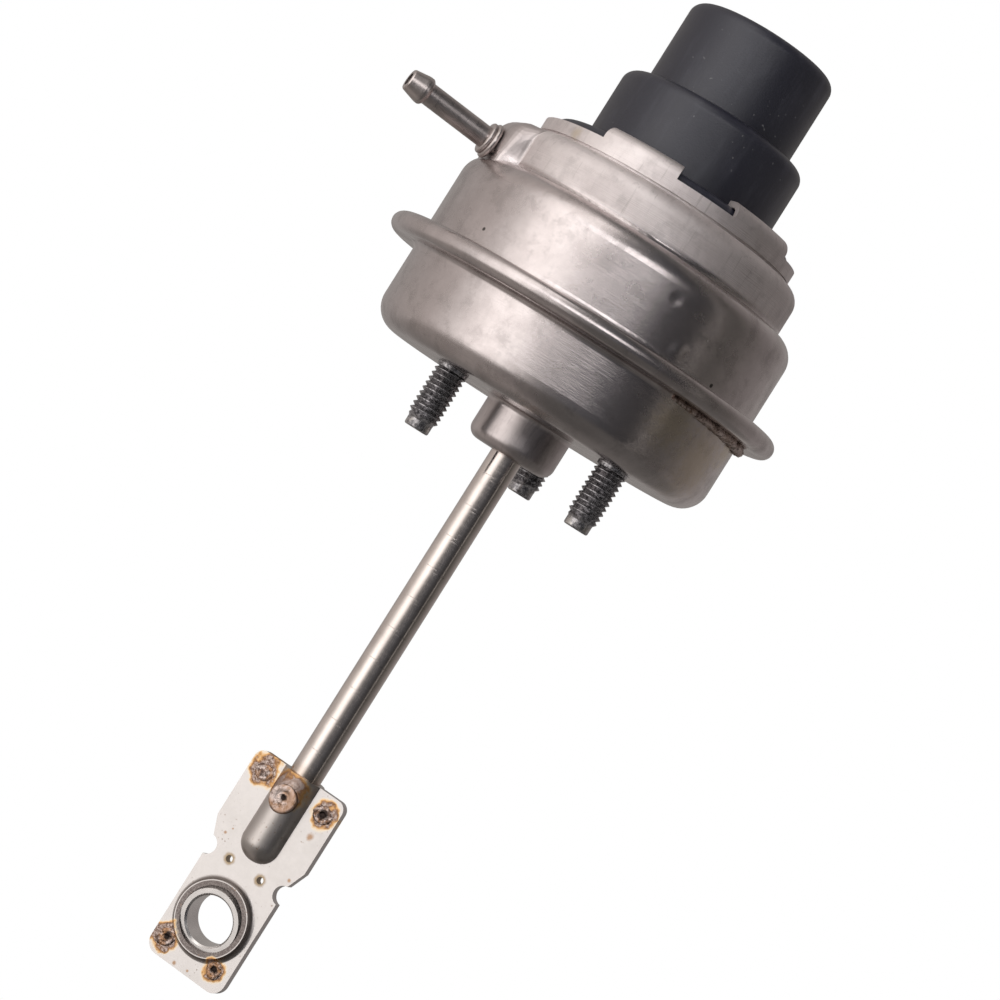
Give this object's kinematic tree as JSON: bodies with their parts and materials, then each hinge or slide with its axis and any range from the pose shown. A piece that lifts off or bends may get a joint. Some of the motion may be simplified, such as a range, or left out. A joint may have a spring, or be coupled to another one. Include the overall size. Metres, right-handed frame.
{
  "type": "turbo wastegate actuator",
  "caption": "Vacuum actuator for a turbocharger's wastegate: round steel can, sprung rod with a clasped ball, hose nipple, and a position sensor under a black cap.",
  "frame": {"origin": "centre of the can's flat mounting face, on the axis of the rod", "axes": "+Z along the rod towards the sensor cap, -Z along the rod towards the ball, -Y towards the front, -X towards the vacuum hose"},
  "size_m": [0.0879, 0.0784, 0.1923],
  "materials": {
    "stainless": "satin pressed stainless sheet, slightly warm",
    "inner_steel": "plain pressed steel",
    "plate_steel": "bright stamped sheet with heat tint round the welds",
    "rod_steel": "ground bar, satin",
    "ball_steel": "turned and bright",
    "weld_metal": "rough weld",
    "nipple_steel": "turned stainless",
    "black_thread": "black plated, glossy",
    "spring_wire": "bright drawn wire",
    "bronze": "sintered, dull",
    "rubber": "dull black moulded",
    "black_plastic": "satin glass-filled moulding",
    "dark_plastic": "plain moulding",
    "board": "green solder mask",
    "contact": "tinned",
    "magnet": "nickel plated"
  },
  "bodies": {
    "canister": {"lower_shell": "stainless", "upper_shell": "stainless", "stud_plate": "inner_steel", "mounting_studs": "black_thread", "guide_bush": "bronze", "rod_wiper": "rubber", "vacuum_nipple": "nipple_steel", "nipple_collar": "nipple_steel", "diaphragm": "rubber", "return_spring": "spring_wire", "spring_seat": "inner_steel", "sensor_seal": "rubber", "sensor_housing": "black_plastic", "clamp_ring": "stainless", "sensor_board": "board", "hall_chip": "dark_plastic", "terminals": "contact", "board_plug": "dark_plastic"},
    "rod": {"rod": "rod_steel", "diaphragm_plate": "inner_steel", "piston_cup": "inner_steel", "magnet_carrier": "dark_plastic", "rod_washer": "inner_steel", "magnet": "magnet", "front_plate": "plate_steel", "back_plate": "plate_steel", "plug_welds": "weld_metal"},
    "ball": {"ball": "ball_steel"}
  },
  "joints": [
    {"name": "rod_slide", "type": "slide", "parent": "canister", "child": "rod", "axis": [0, 0, 1], "range_m": [0, 0.01], "stiffness_N_per_m": 1850, "springref_m": -0.02, "deforming": ["return_spring", "diaphragm"]},
    {"name": "ball_swivel", "type": "hinge", "parent": "rod", "child": "ball", "pos_m": [0, 0, -0.1039], "axis": [0.9426, -0.3338, 0], "range_deg": [-21, 3]}
  ]
}
